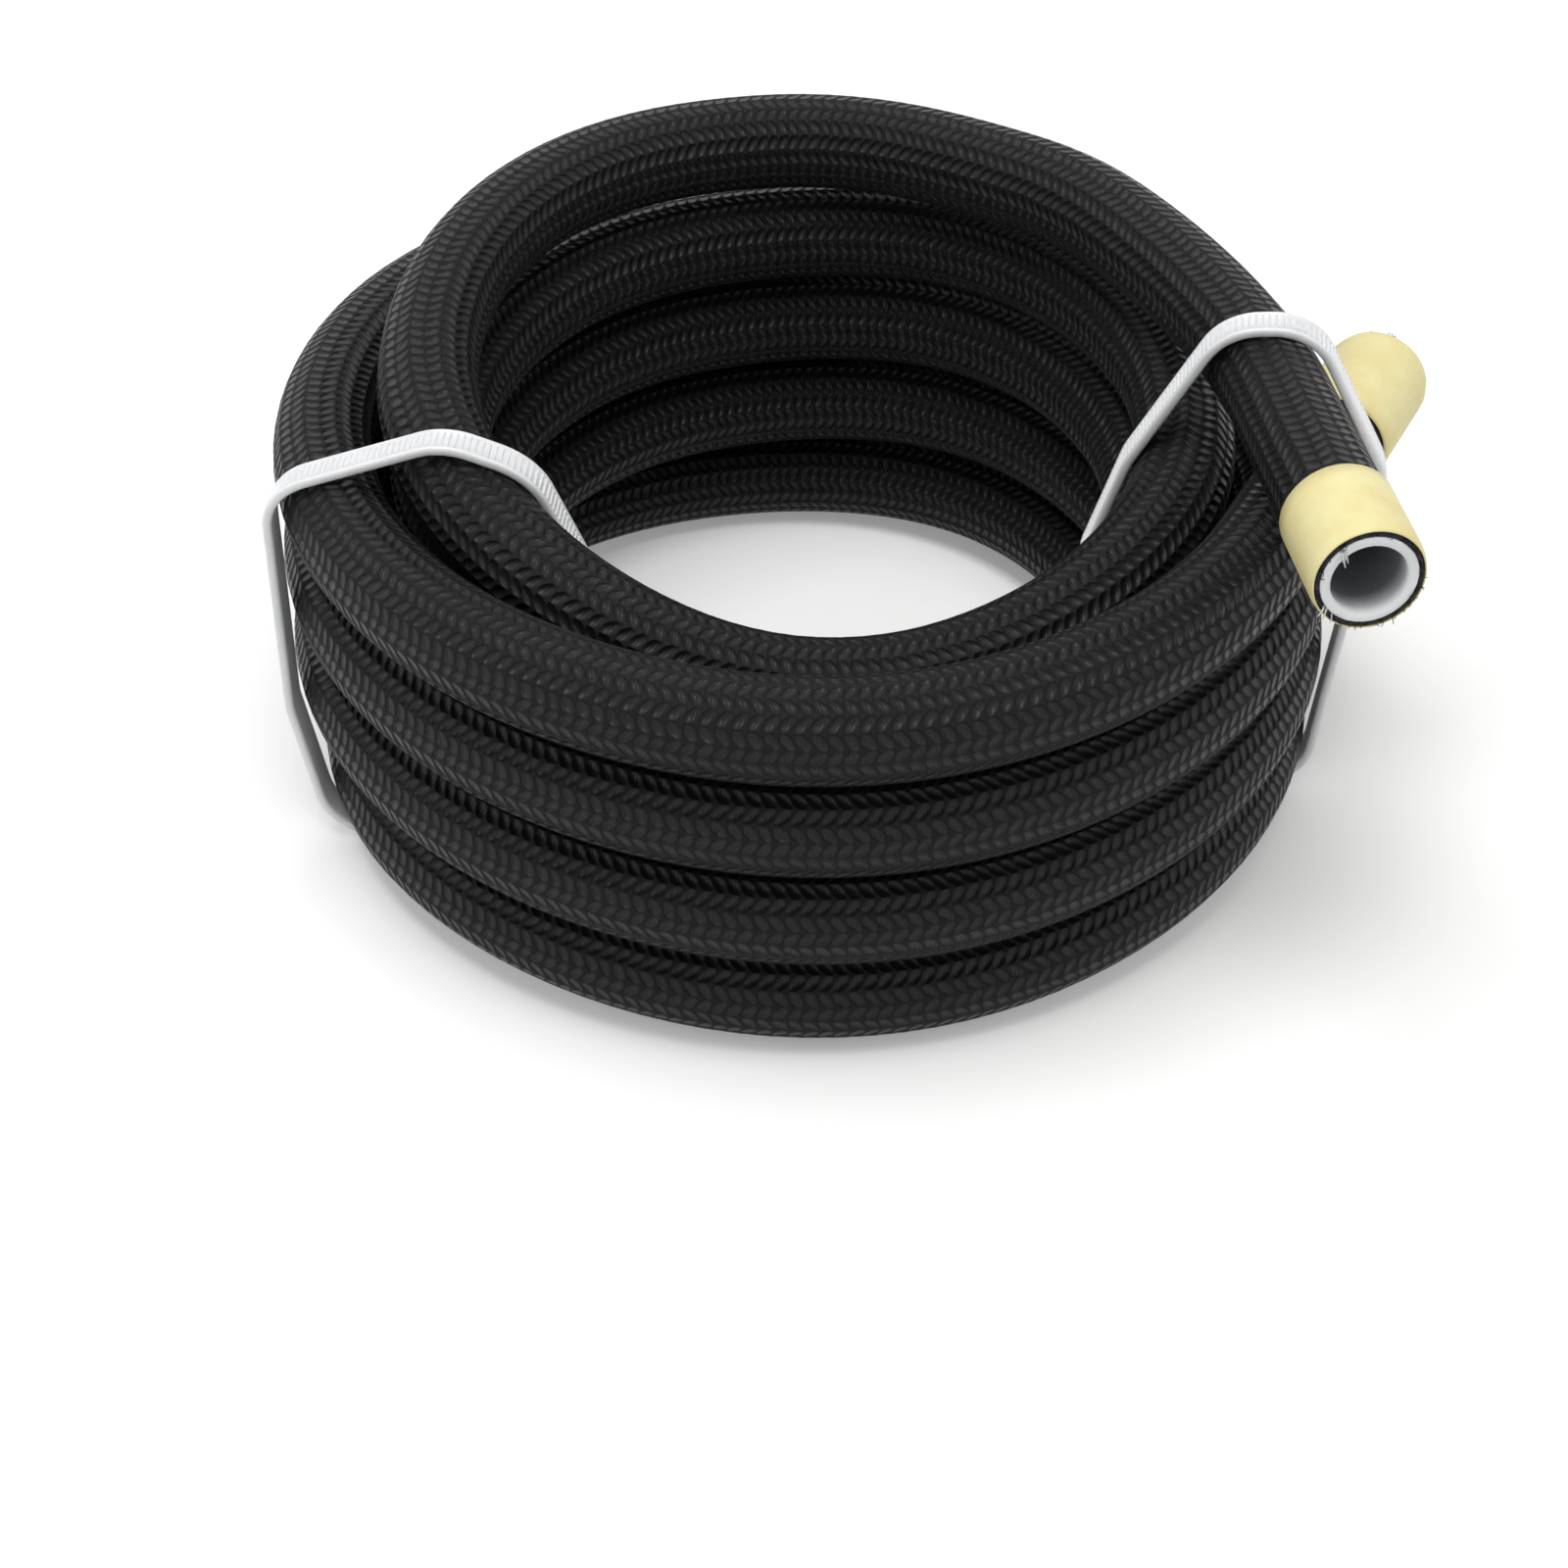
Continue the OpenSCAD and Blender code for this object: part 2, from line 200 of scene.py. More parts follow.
# The pale ones were pulled out in tufts. Each tuft has its place round the mouth, its number of
# threads, and how far they lean sideways and outwards, give or take the spread.
TUFTS = ((47, 5, -0.0009, -0.0017), (-40, 3, -0.0006, 0.0012))
TUFT_FROM_MIDDLE = LINER_RADIUS + 0.0001
TUFT_ANGLE_SPREAD = (-9, 9)
TUFT_LEAN_SPREAD = (0.7, 1.2)
TUFT_LENGTH = (0.0009, 0.0013)
TUFT_THREAD_RADIUS = (0.00014, 0.00020)
THREAD_STEPS = 6
THREAD_SIDES = 5
THREAD_TIP_SHARE = 0.5
THREAD_ROOT_DEPTH = 0.0006
THREADS_SEED = 5

# The camera, the floor and the world's light. Only where it is seen directly does the floor shine,
# a little at the hose and fully from far off.
CAMERA_PLACE = COIL_AXIS + Vector((-0.003486, -0.37772, 0.30056))
CAMERA_TARGET = COIL_AXIS + Vector((-0.003486, -0.050218, 0.0291))
CAMERA_LENS_MM = 72.95
FLOOR_HALF = 6.0
FLOOR_GLOW = 0.25
FLOOR_GLOW_FROM_TO = (0.35, 1.6)
WORLD_LIGHT = 0.36
# The lamps, with their place, width, height and power in watts.
LAMP_TARGET = Vector((0, 0, 0.03))
LAMPS = (
    ("softbox above", (-0.12, -0.10, 1.15), 0.8, 0.55, 8.5),
    ("softbox left", (-1.0, -0.30, 0.55), 0.7, 0.7, 1.6),
    ("softbox right", (1.0, -0.35, 0.55), 0.7, 0.7, 1.2),
)


# ---------------------------------------------------------------- the hose's middle line

def ease(start, end, x):
    """A smooth rise from 0 at start to 1 at end."""
    u = min(max((x - start) / (end - start), 0.0), 1.0)
    return u * u * (3 - 2 * u)


def cosine(degrees):
    return math.cos(math.radians(degrees))


def sine(degrees):
    return math.sin(math.radians(degrees))


def bulge(t):
    """How far the back is drawn outward, in lay pitches, the same in both columns."""
    share = max(0.0, sine(360 * t + BULGE_LEAD)) ** BULGE_SHARPNESS
    return BACK_BULGE / LAY_PITCH * share


def inner_level(t):
    """The inner column's height in lay pitches: one down in each turn."""
    return TURNS_DOWN - sum(ease(j + DROP[0], j + DROP[1], t) for j in range(TURNS_DOWN))


def nest_share(t):
    """How fully the inner column's turns nest from side to side, at the front."""
    part = t - math.floor(t)
    if t <= TOP_TURN_END or t >= TURNS_DOWN + NEST[2] - 1:
        return 0.0
    if QUARTER_TURN <= part < NEST[1]:
        return ease(NEST[0], NEST[1], part)
    return 1 - ease(NEST[1], NEST[2], part + 1 if part < NEST[1] else part)


def outer_level(t):
    """The outer column's height in lay pitches: one up in each turn."""
    return sum(
        sine(90 * ease(TURNS_DOWN + j + CLIMB[0], TURNS_DOWN + j + CLIMB[1], t))
        for j in range(1, TURNS_UP)
    )


def tuck_in(t):
    """How far the lowest outer turn tucks in, in lay pitches."""
    return (
        TUCK_SHARE * sine(NEST_LEAN) * ease(TURNS_DOWN + TUCK_FROM[0], TURNS_DOWN + TUCK_FROM[1], t)
        * (1 - ease(TURNS_DOWN + TUCK_TO[0], TURNS_DOWN + TUCK_TO[1], t))
    )


def hose_middle(t):
    """The middle of the hose after t turns."""
    if t < TOP_TURN_END:
        lean = TOP_LEAN * ease(TOP_LEAN_FROM, TOP_LEAN_FULL, t)
        lean *= 1 - ease(TOP_LEAN_FULL, TOP_TURN_END, t)
        rest = math.sqrt(1 - (sine(lean) - bulge(t)) ** 2)
        level = inner_level(t) - 1 + rest + LIFT_RATE * max(0, LIFT_TO - t) ** 2
        out = sine(lean) + LEAVE_RATE * max(0, LEAVE_TO - t) ** 2
    else:
        nest = NEST_LEAN * nest_share(t)
        inward = math.floor(TURNS_DOWN + t - QUARTER_TURN) % 2
        outward = 90 * ease(TURNS_DOWN + CLIMB[0], TURNS_DOWN + CLIMB[1], t)
        level = inner_level(t) * cosine(nest) + outer_level(t)
        out = bulge(t) - inward * sine(nest) + 1 - cosine(outward) - tuck_in(t)
    radius = INNER_RADIUS + LAY_PITCH * out
    rise = TIE_ROOM * (1 - sine(360 * t - REST_ANGLE) ** REST_WIDTH)
    height = HOSE_RADIUS + LAY_PITCH * level + rise
    return COIL_AXIS + Vector((radius * cosine(360 * t), radius * sine(360 * t), height))


def end_way(t, step):
    return (hose_middle(t) - hose_middle(t + step)).normalized()


FRONT_WAY = end_way(FIRST_TURN, TANGENT_STEP)
REAR_WAY = end_way(LAST_TURN, -TANGENT_STEP)
FRONT_LEAVES = hose_middle(FIRST_TURN)
REAR_LEAVES = hose_middle(LAST_TURN)
FRONT_LOOSE = FRONT_END_LENGTH + HOSE_DIAMETER
REAR_LOOSE = REAR_END_LENGTH + HOSE_DIAMETER
FRONT_MOUTH = FRONT_LEAVES + FRONT_LOOSE * FRONT_WAY
REAR_MOUTH = REAR_LEAVES + REAR_LOOSE * REAR_WAY


def hose_line(rings_per_turn, end_step):
    """Points from the front mouth to the rear mouth."""
    front = math.ceil(FRONT_LOOSE / end_step)
    rear = math.ceil(REAR_LOOSE / end_step)
    turns = math.ceil((LAST_TURN - FIRST_TURN) * rings_per_turn)
    points = [FRONT_MOUTH.lerp(FRONT_LEAVES, i / front) for i in range(front)]
    points += [hose_middle(FIRST_TURN + (LAST_TURN - FIRST_TURN) * i / turns) for i in range(turns)]
    points += [REAR_LEAVES.lerp(REAR_MOUTH, i / rear) for i in range(rear + 1)]
    return points


def arc_lengths(points):
    lengths = [0.0]
    for a, b in zip(points, points[1:]):
        lengths.append(lengths[-1] + (b - a).length)
    return lengths


def ways_along(points):
    last = len(points) - 1
    return [(points[min(i + 1, last)] - points[max(i - 1, 0)]).normalized()
            for i in range(last + 1)]


# ---------------------------------------------------------------- mesh building

def new_piece(name, vertices, faces, material, corner_uvs=None, smooth=True):
    mesh = bpy.data.meshes.new(name)
    mesh.from_pydata([tuple(v) for v in vertices], [], faces)
    if corner_uvs:
        layer = mesh.uv_layers.new(name="along_and_around")
        layer.data.foreach_set("uv", [x for uv in corner_uvs for x in uv])
    mesh.polygons.foreach_set("use_smooth", [smooth] * len(mesh.polygons))
    mesh.materials.append(material)
    mesh.update()
    piece = bpy.data.objects.new(name, mesh)
    bpy.context.scene.collection.objects.link(piece)
    return piece


class Loft:
    """Closed loops of points, joined one to the next, with a UV of (distance, share round)."""

    def __init__(self):
        self.vertices = []
        self.faces = []
        self.uvs = []

    def add(self, loops, distances=None, rounds=1.0, close_start=False, close_end=False,
            joined=False):
        base = len(self.vertices)
        count = len(loops[0])
        for loop in loops:
            self.vertices += loop
        distances = distances or list(range(len(loops)))
        pairs = list(zip(range(len(loops) - 1), range(1, len(loops))))
        if joined:
            pairs.append((len(loops) - 1, 0))
        for i, j in pairs:
            along_i = distances[i]
            along_j = distances[j] if j > i else distances[i] + distances[1] - distances[0]
            near = base + i * count
            far = base + j * count
            for k in range(count):
                n = (k + 1) % count
                self.faces.append((near + k, near + n, far + n, far + k))
                here, there = rounds * k / count, rounds * (k + 1) / count
                self.uvs += [(along_i, here), (along_i, there), (along_j, there), (along_j, here)]
        if close_start:
            self.faces.append(tuple(base + k for k in reversed(range(count))))
            self.uvs += [(distances[0], 0.0)] * count
        if close_end:
            last = base + (len(loops) - 1) * count
            self.faces.append(tuple(last + k for k in range(count)))
            self.uvs += [(distances[-1], 0.0)] * count
        return self

    def piece(self, name, material, smooth=True):
        return new_piece(name, self.vertices, self.faces, material, self.uvs, smooth)


def ring_round(centre, way, radius, sides):
    side = way.cross(Vector((0, 0, 1))).normalized()
    up = side.cross(way)
    ring = []
    for k in range(sides):
        angle = 2 * math.pi * k / sides - math.pi / 2
        ring.append(centre + radius * (math.cos(angle) * side + math.sin(angle) * up))
    return ring


def hollow_tube(points, outer_radius, bore, sides, rounds, lip, outer_flare=0.0, bore_flare=0.0):
    """A tube with its bore, and each point's depth behind the nearer mouth, 0 on the outside.

    Its cut ends are rounded over by lip, and may be flared a little.
    """
    ways = ways_along(points)
    lengths = arc_lengths(points)
    total = lengths[-1]
    last = len(points) - 1
    edge = outer_radius + outer_flare
    outer = [ring_round(p, w, outer_radius, sides) for p, w in zip(points, ways)]
    outer[0] = ring_round(points[0] + lip * ways[0], ways[0], edge, sides)
    outer[-1] = ring_round(points[-1] - lip * ways[-1], ways[-1], edge, sides)
    half = lip * (1 - math.sqrt(0.5))
    rounded_front = [
        ring_round(points[0], ways[0], edge - lip, sides),
        ring_round(points[0] + half * ways[0], ways[0], edge - half, sides),
    ]
    rounded_rear = [
        ring_round(points[-1] - half * ways[-1], ways[-1], edge - half, sides),
        ring_round(points[-1], ways[-1], edge - lip, sides),
    ]
    inner = [ring_round(p, w, bore + (bore_flare if i in (0, last) else 0.0), sides)
             for i, (p, w) in enumerate(zip(points, ways))]
    loops = rounded_front + outer + rounded_rear + list(reversed(inner))
    distances = [0, lip / 2] + lengths + [total - lip / 2, total] + list(reversed(lengths))
    depths = [0.0] * (len(loops) - len(inner)) + [min(s, total - s) for s in reversed(lengths)]
    tube = Loft().add(loops, [d / STITCH_LENGTH for d in distances], rounds, joined=True)
    return tube, [depth for depth in depths for _ in range(sides)]


# ---------------------------------------------------------------- materials

def new_material(name):
    material = bpy.data.materials.new(name)
    material.use_nodes = True
    nodes = material.node_tree.nodes
    nodes.clear()
    output = nodes.new("ShaderNodeOutputMaterial")
    shader = nodes.new("ShaderNodeBsdfPrincipled")
    material.node_tree.links.new(shader.outputs["BSDF"], output.inputs["Surface"])
    return material, shader


class Wiring:
    """Short calls to place and join a node tree's nodes."""

    def __init__(self, tree):
        self.tree = tree

    def node(self, kind, **settings):
        node = self.tree.nodes.new(kind)
        for key, value in settings.items():
            setattr(node, key, value)
        return node

    def put(self, socket, value):
        if isinstance(value, bpy.types.NodeSocket):
            self.tree.links.new(value, socket)
        else:
            socket.default_value = value

    def math(self, operation, *values, clamp=False):
        node = self.node("ShaderNodeMath", operation=operation, use_clamp=clamp)
        for socket, value in zip(node.inputs, values):
            self.put(socket, value)
        return node.outputs[0]

    def mix_colour(self, share, a, b):
        node = self.node("ShaderNodeMix", data_type="RGBA")
        self.put(node.inputs[0], share)
        self.put(node.inputs[6], a)
        self.put(node.inputs[7], b)
        return node.outputs[2]

    def span(self, value, low, high, to_low, to_high):
        node = self.node("ShaderNodeMapRange")
        for socket, item in zip(node.inputs, (value, low, high, to_low, to_high)):
            self.put(socket, item)
        return node.outputs[0]

    def noise(self, vector, scale, detail=2.0, roughness=0.5):
        node = self.node("ShaderNodeTexNoise")
        self.put(node.inputs["Vector"], vector)
        self.put(node.inputs["Scale"], scale)
        node.inputs["Detail"].default_value = detail
        node.inputs["Roughness"].default_value = roughness
        return node.outputs["Fac"]

    def bump(self, height, strength, distance):
        node = self.node("ShaderNodeBump")
        node.inputs["Strength"].default_value = strength
        node.inputs["Distance"].default_value = distance
        self.put(node.inputs["Height"], height)
        return node.outputs["Normal"]

    def seen_directly(self):
        """1 for what the camera, a mirror or clear glass sees, and 0 for light on its way."""
        ray = self.node("ShaderNodeLightPath")
        seen = self.math("MAXIMUM", ray.outputs["Is Camera Ray"], ray.outputs["Is Glossy Ray"])
        return self.math("MAXIMUM", seen, ray.outputs["Is Transmission Ray"])


def new_group(name, inputs, outputs):
    group = bpy.data.node_groups.new(name, "ShaderNodeTree")
    for title, kind, default in inputs:
        socket = group.interface.new_socket(title, in_out="INPUT", socket_type=kind)
        if default is not None:
            socket.default_value = default
    for title, kind in outputs:
        group.interface.new_socket(title, in_out="OUTPUT", socket_type=kind)
    wire = Wiring(group)
    return group, wire, wire.node("NodeGroupInput"), wire.node("NodeGroupOutput")


def braid_group():
    """A two-over-two braid: slanted stitches in rows along the hose, the rows leaning in turn."""
    group, w, given, result = new_group(
        "two over two braid",
        [("Along and around", "NodeSocketVector", None), ("Slant", "NodeSocketFloat", 0.5),
         ("Filaments", "NodeSocketFloat", 5.0), ("Looseness", "NodeSocketFloat", 0.5)],
        [("Height", "NodeSocketFloat"), ("Gap", "NodeSocketFloat"), ("Shade", "NodeSocketFloat")],
    )
    place = w.node("ShaderNodeSeparateXYZ")
    w.put(place.inputs[0], given.outputs["Along and around"])
    # Yarns are pulled unevenly, so no row runs quite straight.
    pull = w.noise(given.outputs["Along and around"], 0.45, 2.0, 0.6)
    pull = w.math("MULTIPLY", w.math("SUBTRACT", pull, 0.5), given.outputs["Looseness"])
    along = w.math("ADD", place.outputs["X"], pull)
    around = w.math("MULTIPLY_ADD", pull, 0.4, place.outputs["Y"])
    # The zigzag rises over one row and falls over the next.
    zigzag = w.math("PINGPONG", around, 1.0)
    phase = w.math("MULTIPLY_ADD", zigzag, given.outputs["Slant"], along)
    stitch = w.math("FRACT", phase)
    row = w.math("FRACT", around)
    # Each stitch is a dome over an oval that fills the middle of its cell.
    short_way = w.math("POWER", w.math("MULTIPLY_ADD", stitch, 1.96, -0.98), 2.0)
    long_way = w.math("POWER", w.math("MULTIPLY_ADD", row, 1.80, -0.90), 2.0)
    dome = w.math("SUBTRACT", 1.0, w.math("ADD", short_way, long_way), clamp=True)
    threads = w.math("PINGPONG", w.math("MULTIPLY", stitch, given.outputs["Filaments"]), 0.5)
    height = w.math("MULTIPLY_ADD", w.math("MULTIPLY", threads, dome), 0.2, dome)
    # Gap is 1 between the stitches. The cover darkens its colour there: painted shade in the
    # recesses.
    gap = w.span(dome, 0.05, 0.6, 1.0, 0.0)
    cell = w.node("ShaderNodeCombineXYZ")
    w.put(cell.inputs[0], w.math("FLOOR", phase))
    w.put(cell.inputs[1], w.math("FLOOR", around))
    chance = w.node("ShaderNodeTexWhiteNoise", noise_dimensions="3D")
    w.put(chance.inputs["Vector"], cell.outputs[0])
    w.put(result.inputs["Height"], height)
    w.put(result.inputs["Gap"], gap)
    w.put(result.inputs["Shade"], chance.outputs["Value"])
    return group


def handling_group():
    """Slow unevenness in colour and gloss, in patches of a given size."""
    group, w, given, result = new_group(
        "handling",
        [("Place", "NodeSocketVector", None), ("Patch size", "NodeSocketFloat", 0.02)],
        [("Patches", "NodeSocketFloat")],
    )
    scale = w.math("DIVIDE", 1.0, given.outputs["Patch size"])
    w.put(result.inputs["Patches"], w.noise(given.outputs["Place"], scale, 3.0, 0.6))
    return group


def place_group(w, group, **values):
    node = w.node("ShaderNodeGroup", node_tree=group)
    for title, value in values.items():
        w.put(node.inputs[title.replace("_", " ")], value)
    return node


def object_place(w):
    return w.node("ShaderNodeTexCoord").outputs["Object"]


def braided_cover_material(braid, handling):
    material, shader = new_material("black braided cover")
    w = Wiring(material.node_tree)
    uv = w.node("ShaderNodeUVMap", uv_map="along_and_around")
    weave = place_group(w, braid, Along_and_around=uv.outputs["UV"])
    wear = place_group(w, handling, Place=object_place(w), Patch_size=0.03)
    yarn = w.mix_colour(weave.outputs["Shade"],
                        (0.0110, 0.0104, 0.0115, 1), (0.0165, 0.0157, 0.0172, 1))
    yarn = w.mix_colour(w.span(wear.outputs["Patches"], 0.3, 0.7, 0.0, 0.4),
                        yarn, (0.0150, 0.0143, 0.0157, 1))
    # Painted shade: the gaps between stitches get a darker black than the yarn.
    colour = w.mix_colour(weave.outputs["Gap"], yarn, (0.0060, 0.0057, 0.0063, 1))
    w.put(shader.inputs["Base Color"], colour)
    w.put(shader.inputs["Roughness"], w.span(weave.outputs["Gap"], 0.0, 1.0, 0.33, 0.7))
    w.put(shader.inputs["Normal"], w.bump(weave.outputs["Height"], 1.0, 0.0006))
    shader.inputs["Specular IOR Level"].default_value = 0.18
    return material


def liner_material(handling):
    material, shader = new_material("white inner tube")
    w = Wiring(material.node_tree)
    place = object_place(w)
    wear = place_group(w, handling, Place=place, Patch_size=0.006)
    patches = w.span(wear.outputs["Patches"], 0.3, 0.7, 0.0, 1.0)
    cut_face = w.mix_colour(patches, (0.86, 0.90, 0.91, 1), (0.93, 0.95, 0.95, 1))
    # The bore's colour is painted shade: the tube's own white, darkened where little light gets in.
    painted_bore_shade = w.mix_colour(patches, (0.25, 0.255, 0.275, 1), (0.31, 0.315, 0.335, 1))
    # Painted shade: the wall darkens over the first millimetres behind the mouth.
    depth = w.node("ShaderNodeAttribute", attribute_name="depth").outputs["Fac"]
    inside = w.span(depth, 0.0, 0.004, 0.0, 1.0)
    w.put(shader.inputs["Base Color"], w.mix_colour(inside, cut_face, painted_bore_shade))
    w.put(shader.inputs["Roughness"], w.span(wear.outputs["Patches"], 0.3, 0.7, 0.42, 0.55))
    w.put(shader.inputs["Normal"], w.bump(w.noise(place, 3500.0, 3.0), 0.25, 0.0001))
    shader.inputs["Specular IOR Level"].default_value = 0.3
    shader.inputs["Subsurface Weight"].default_value = 0.1
    shader.inputs["Subsurface Radius"].default_value = (1.0, 1.0, 1.0)
    shader.inputs["Subsurface Scale"].default_value = 0.001
    return material


def crepe_tape_material(handling):
    material, shader = new_material("cream crepe tape")
    w = Wiring(material.node_tree)
    place = object_place(w)
    wear = place_group(w, handling, Place=place, Patch_size=0.006)
    uv = w.node("ShaderNodeUVMap", uv_map="along_and_around")
    stretch = w.node("ShaderNodeMapping")
    stretch.inputs["Scale"].default_value = (1.0, 0.4, 1.0)
    w.put(stretch.inputs["Vector"], uv.outputs["UV"])
    crinkle = w.noise(stretch.outputs[0], 1.1, 3.0, 0.6)
    colour = w.mix_colour(w.span(wear.outputs["Patches"], 0.35, 0.65, 0.0, 1.0),
                          (0.88, 0.74, 0.35, 1), (0.92, 0.83, 0.44, 1))
    # Painted shade: the crinkle's hollows are darkened towards orange.
    colour = w.mix_colour(w.span(crinkle, 0.30, 0.55, 0.12, 0.0), colour, (0.85, 0.66, 0.30, 1))
    w.put(shader.inputs["Base Color"], colour)
    w.put(shader.inputs["Roughness"], w.span(crinkle, 0.3, 0.7, 0.62, 0.5))
    w.put(shader.inputs["Normal"], w.bump(crinkle, 0.35, 0.00006))
    shader.inputs["Subsurface Weight"].default_value = 0.05
    shader.inputs["Subsurface Scale"].default_value = 0.001
    return material


def tie_material(handling):
    material, shader = new_material("natural nylon")
    w = Wiring(material.node_tree)
    place = object_place(w)
    wear = place_group(w, handling, Place=place, Patch_size=0.012)
    colour = w.mix_colour(w.span(wear.outputs["Patches"], 0.3, 0.7, 0.0, 1.0),
                          (0.88, 0.89, 0.91, 1), (0.94, 0.95, 0.96, 1))
    w.put(shader.inputs["Base Color"], colour)
    w.put(shader.inputs["Roughness"], w.span(wear.outputs["Patches"], 0.3, 0.7, 0.3, 0.42))
    w.put(shader.inputs["Normal"], w.bump(w.noise(place, 900.0, 2.0), 0.15, 0.0001))
    shader.inputs["Subsurface Weight"].default_value = 0.4
    shader.inputs["Subsurface Radius"].default_value = (1.0, 1.0, 1.0)
    shader.inputs["Subsurface Scale"].default_value = 0.002
    return material


def thread_material(name, colour):
    material, shader = new_material(name)
    w = Wiring(material.node_tree)
    twist = w.noise(object_place(w), 4000.0, 1.0)
    dark = tuple(0.6 * c for c in colour[:3]) + (1,)
    twisted = w.mix_colour(w.span(twist, 0.35, 0.65, 0.0, 1.0), dark, colour)
    w.put(shader.inputs["Base Color"], twisted)
    w.put(shader.inputs["Roughness"], w.span(twist, 0.3, 0.7, 0.5, 0.7))
    return material


def floor_material():
    """White paper that takes the hose's shadow and stays white where light falls on it freely."""
    material, shader = new_material("pale floor")
    w = Wiring(material.node_tree)
    grain = w.noise(object_place(w), 60.0, 2.0)
    paper = w.mix_colour(grain, (0.86, 0.86, 0.855, 1), (0.89, 0.89, 0.885, 1))
    w.put(shader.inputs["Base Color"], paper)
    shader.inputs["Roughness"].default_value = 0.8
    distance = w.node("ShaderNodeVectorMath", operation="LENGTH")
    w.put(distance.inputs[0], object_place(w))
    strength = w.span(distance.outputs["Value"], *FLOOR_GLOW_FROM_TO, FLOOR_GLOW, 1.0)
    glow = w.node("ShaderNodeEmission")
    glow.inputs["Color"].default_value = (1.0, 1.0, 0.995, 1)
    w.put(glow.inputs["Strength"], w.math("MULTIPLY", w.seen_directly(), strength))
    both = w.node("ShaderNodeAddShader")
    output = next(n for n in material.node_tree.nodes if n.type == "OUTPUT_MATERIAL")
    w.put(both.inputs[0], shader.outputs["BSDF"])
    w.put(both.inputs[1], glow.outputs[0])
    w.put(output.inputs["Surface"], both.outputs[0])
    return material


# ---------------------------------------------------------------- camera, floor and light

def place_camera():
    data = bpy.data.cameras.new("camera")
    data.lens = CAMERA_LENS_MM
    data.sensor_width = 36
    data.clip_start = 0.01
    data.clip_end = 50
    camera = bpy.data.objects.new("camera", data)
    camera.location = CAMERA_PLACE
    camera.rotation_euler = (CAMERA_TARGET - CAMERA_PLACE).to_track_quat("-Z", "Y").to_euler()
    bpy.context.scene.collection.objects.link(camera)
    bpy.context.scene.camera = camera


def lay_floor():
    corners = [(FLOOR_HALF * x, FLOOR_HALF * y, 0) for x, y in ((-1, -1), (1, -1), (1, 1), (-1, 1))]
    floor = new_piece("floor", corners, [(0, 1, 2, 3)], floor_material(), smooth=False)


def light_world():
    world = bpy.data.worlds.new("white room")
    world.use_nodes = True
    bpy.context.scene.world = world
    w = Wiring(world.node_tree)
    background = next(n for n in world.node_tree.nodes if n.type == "BACKGROUND")
    background.inputs["Color"].default_value = (1, 1, 1, 1)
    w.put(background.inputs["Strength"], w.span(w.seen_directly(), 0.0, 1.0, WORLD_LIGHT, 1.0))


def soft_box(name, place, width, height, power):
    data = bpy.data.lights.new(name, "AREA")
    data.shape = "RECTANGLE"
    data.size = width
    data.size_y = height
    data.energy = power
    lamp = bpy.data.objects.new(name, data)
    lamp.location = place
    lamp.rotation_euler = (LAMP_TARGET - Vector(place)).to_track_quat("-Z", "Y").to_euler()
    bpy.context.scene.collection.objects.link(lamp)


# ---------------------------------------------------------------- the hose

def make_hose(cover_material, inner_material):
    points = hose_line(RINGS_PER_TURN, END_STEP)
    cover, _ = hollow_tube(points, HOSE_RADIUS, HOSE_RADIUS - COVER_WALL, TUBE_SIDES, BRAID_ROWS,
                           COVER_LIP, bore_flare=END_FLARE)
    cover = cover.piece("hose_cover", cover_material)
    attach(cover, "root")
    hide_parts("hose_cover_coil", "hose_cover_front_end", "hose_cover_rear_end")
    path = hose_line(PATH_POINTS_PER_TURN, PATH_END_STEP)
    liner, depths = hollow_tube(points, LINER_RADIUS, BORE_RADIUS, TUBE_SIDES, 1.0,
                                LINER_LIP, outer_flare=END_FLARE)
    liner = liner.piece("inner_tube", inner_material)
    depth = liner.data.attributes.new("depth", "FLOAT", "POINT")
    depth.data.foreach_set("value", depths)
    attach(liner, "root")
    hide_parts("liner_coil", "liner_front_end", "liner_rear_end")


# ---------------------------------------------------------------- the tape

def make_tape(name, node, mouth, way, width, material, seed):
    """A strip wound round the hose, pressed thin at the mouth, its free edge underneath."""
    turns = TAPE_LAYERS - TAPE_SHORT_OF_A_TURN
    start = math.radians(-90 - 360 * turns)
    side = way.cross(Vector((0, 0, 1))).normalized()
    up = side.cross(way)
    wander, wander_rate = TAPE_WANDER
    ragged, ragged_rate = TAPE_RAGGED
    loops = []
    distances = []
    for i in range(int(TAPE_STEPS_PER_TURN * turns) + 1):
        share = i / TAPE_STEPS_PER_TURN
        angle = start + 2 * math.pi * share
        wobble = wander * math.sin(share * wander_rate + seed)
        wobble += ragged * math.sin(share * ragged_rate)
        inside = TAPE_START_HEIGHT + TAPE_LAYER * share
        outside = inside + TAPE_STRIP_SHARE * TAPE_LAYER
        direction = math.cos(angle) * side + math.sin(angle) * up
        top = []
        underside = []
        for column in TAPE_COLUMNS:
            across = max(0.0, width * column - wobble * column)
            pressed = MOUTH_PRESS + (1 - MOUTH_PRESS) * ease(0.0, MOUTH_PRESS_WIDTH, across)
            crepe = noise.noise(Vector((share * CREPE_ALONG, across * CREPE_ACROSS, seed)))
            place = mouth - way * across
            top.append(place + direction * (HOSE_RADIUS + pressed * outside + CREPE_HEIGHT * crepe))
            underside.append(place + direction * (HOSE_RADIUS + pressed * inside))
        loops.append(top + underside[::-1])
        distances.append(share * 2 * math.pi * HOSE_RADIUS / TAPE_UV_UNIT)
    tape = Loft().add(loops, distances, 2 * width / TAPE_UV_UNIT, close_start=True, close_end=True)
    tape = tape.piece(name, material)
    faces_outwards(tape)
    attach(tape, "root")
    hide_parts(node)


